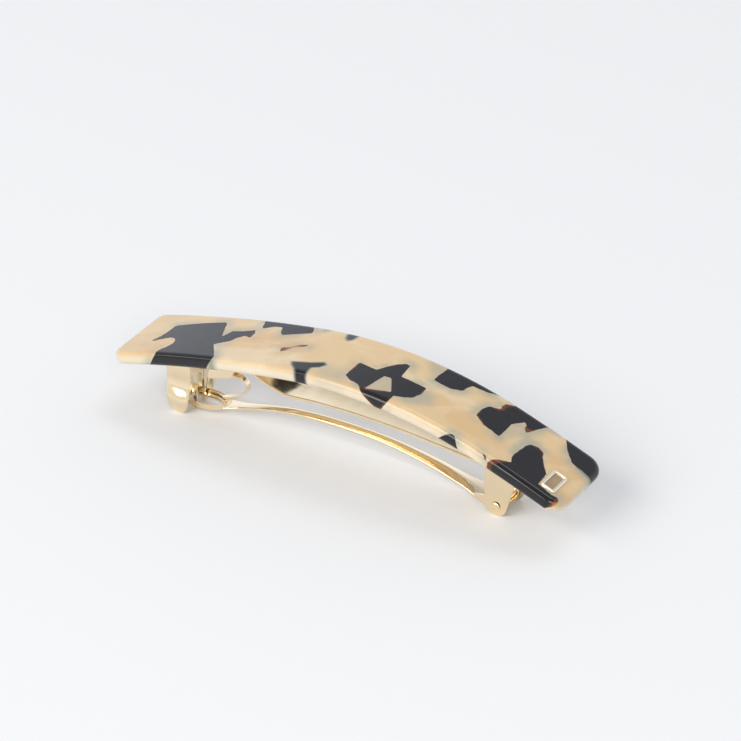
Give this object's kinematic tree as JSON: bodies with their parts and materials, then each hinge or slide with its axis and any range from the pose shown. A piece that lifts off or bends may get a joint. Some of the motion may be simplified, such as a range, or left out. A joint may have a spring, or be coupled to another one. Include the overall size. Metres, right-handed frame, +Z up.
{
  "type": "hair barrette",
  "caption": "Arched hair barrette: mottled acetate plate on a sprung metal clip with a hinged clasp arm, bowed tension bar and squeeze catch.",
  "frame": {"origin": "centre of the bounding box in plan, on the surface that the closed barrette rests on", "axes": "+X along the plate from the catch end to the hinge end, +Y across the plate, +Z up out of the plate's arched face"},
  "size_m": [0.106, 0.0186, 0.0229],
  "materials": {
    "mottled_acetate": "polished cream acetate with near-black, brown and amber flakes",
    "gold_plated_metal": "polished pale gold plating",
    "gold_spring_metal": "polished pale gold plating on spring strip",
    "pale_gold_trim": "satin pale gold",
    "adhesive": "cured clear-cream adhesive"
  },
  "bodies": {
    "plate_and_clip": {"top_plate": "mottled_acetate", "plaque": "pale_gold_trim", "adhesive_pad_catch_end": "adhesive", "adhesive_pad_hinge_end": "adhesive", "base_strip": "gold_plated_metal", "hinge_pin": "pale_gold_trim", "kick_spring": "gold_spring_metal", "kick_spring_rivet": "pale_gold_trim"},
    "arm": {"clasp_arm": "gold_plated_metal"},
    "bar": {"tension_bar": "gold_spring_metal"},
    "tab_front": {"catch_tab_front": "gold_plated_metal"},
    "tab_back": {"catch_tab_back": "gold_plated_metal"}
  },
  "joints": [
    {"name": "arm_hinge", "type": "hinge", "parent": "plate_and_clip", "child": "arm", "pos_m": [0.0353, 0, 0.0022], "axis": [0, -1, 0], "range_deg": [0, 80]},
    {"name": "bar_swing", "type": "hinge", "parent": "plate_and_clip", "child": "bar", "pos_m": [0.0344, 0, 0.0096], "axis": [0, -1, 0], "range_deg": [0, 18]},
    {"name": "tab_front_squeeze", "type": "hinge", "parent": "plate_and_clip", "child": "tab_front", "pos_m": [-0.04, -0.0036, 0.0112], "axis": [0.9675, 0, 0.253], "range_deg": [0, 5.5], "stiffness_Nm_per_rad": 0.2},
    {"name": "tab_back_squeeze", "type": "hinge", "parent": "plate_and_clip", "child": "tab_back", "pos_m": [-0.04, 0.0036, 0.0112], "axis": [-0.9675, 0, -0.253], "range_deg": [0, 5.5], "stiffness_Nm_per_rad": 0.2}
  ],
  "couplings": [
    {"joint": "bar_swing", "follows": "arm_hinge", "ratio": 0.22}
  ]
}
